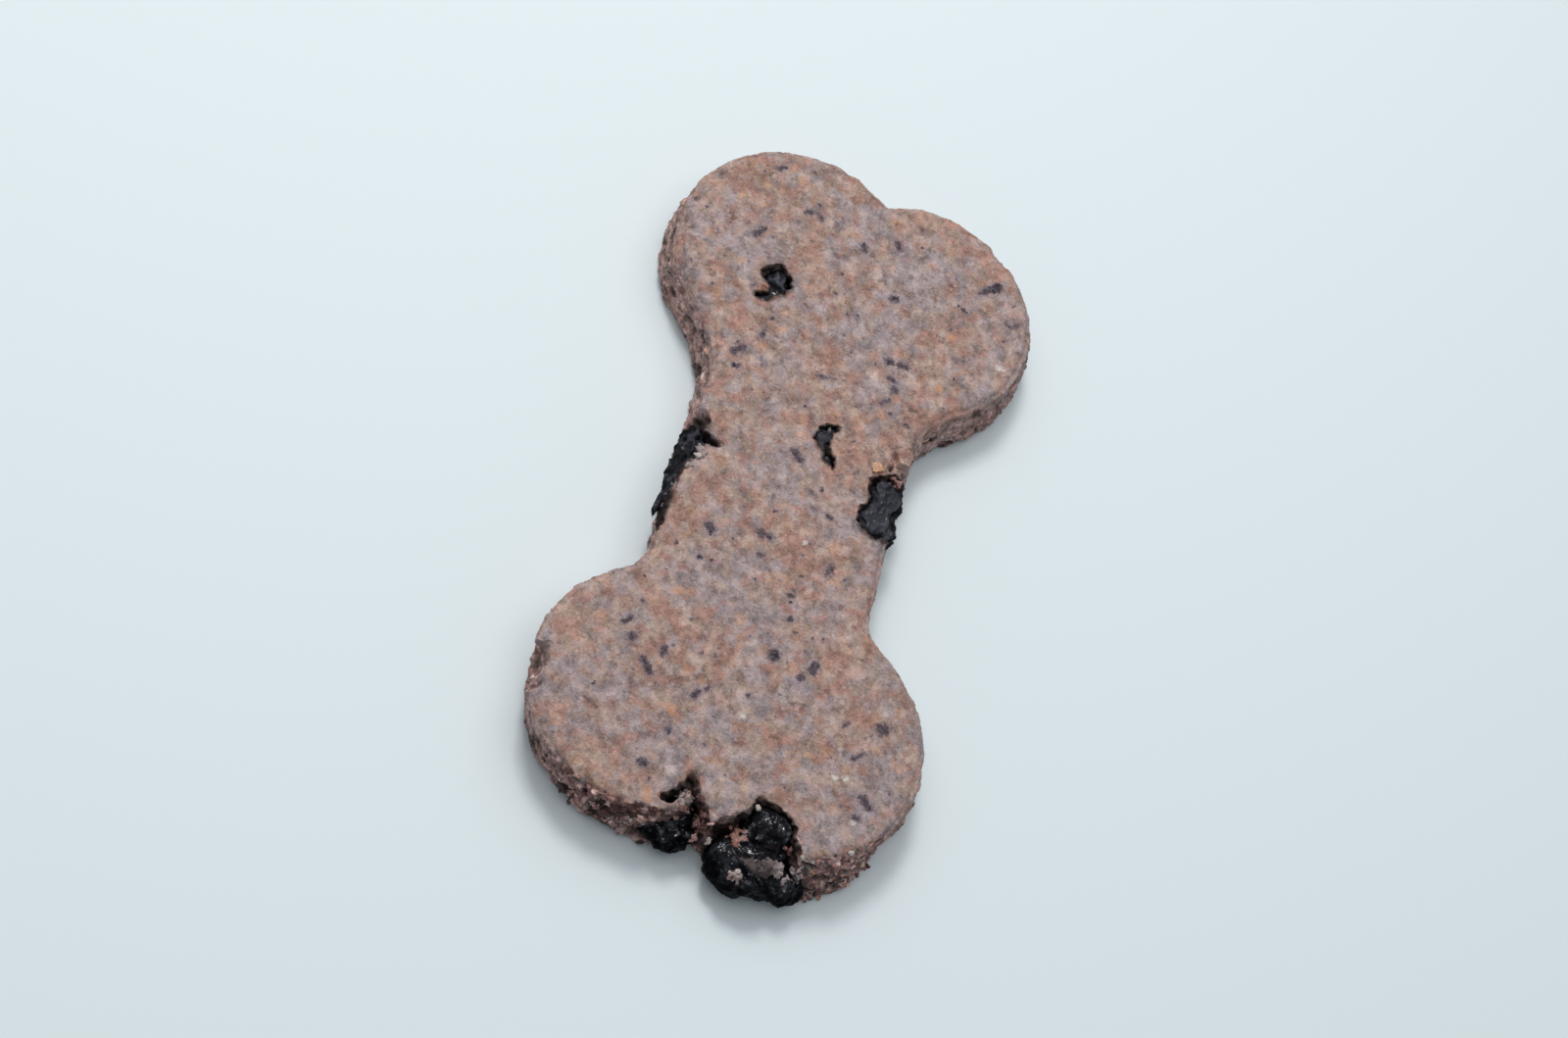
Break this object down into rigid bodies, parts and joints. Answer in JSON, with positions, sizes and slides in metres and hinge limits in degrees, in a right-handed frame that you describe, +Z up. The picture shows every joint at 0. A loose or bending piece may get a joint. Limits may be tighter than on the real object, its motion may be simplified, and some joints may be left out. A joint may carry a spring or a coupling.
{
  "type": "dog biscuit",
  "caption": "Bone-shaped baked dog biscuit with dried dark berries set in its speckled, crumbly dough.",
  "frame": {"origin": "middle of the biscuit's box, on the surface that it lies on", "axes": "+X across the bone, +Y along it, away from the end with the largest berry, +Z up out of its top face"},
  "size_m": [0.0436, 0.0862, 0.0069],
  "materials": {
    "dough": "dry, matte, fine-grained baked dough, greyish mauve with orange-brown and dark blue specks",
    "berry": "wrinkled, glossy, nearly black dried fruit skin"
  },
  "bodies": {
    "root": {"dough": "dough", "end_berry": "berry", "wall_berry": "berry", "right_waist_berry": "berry", "left_waist_berry": "berry", "knob_berry": "berry", "thin_berry": "berry"}
  },
  "joints": []
}
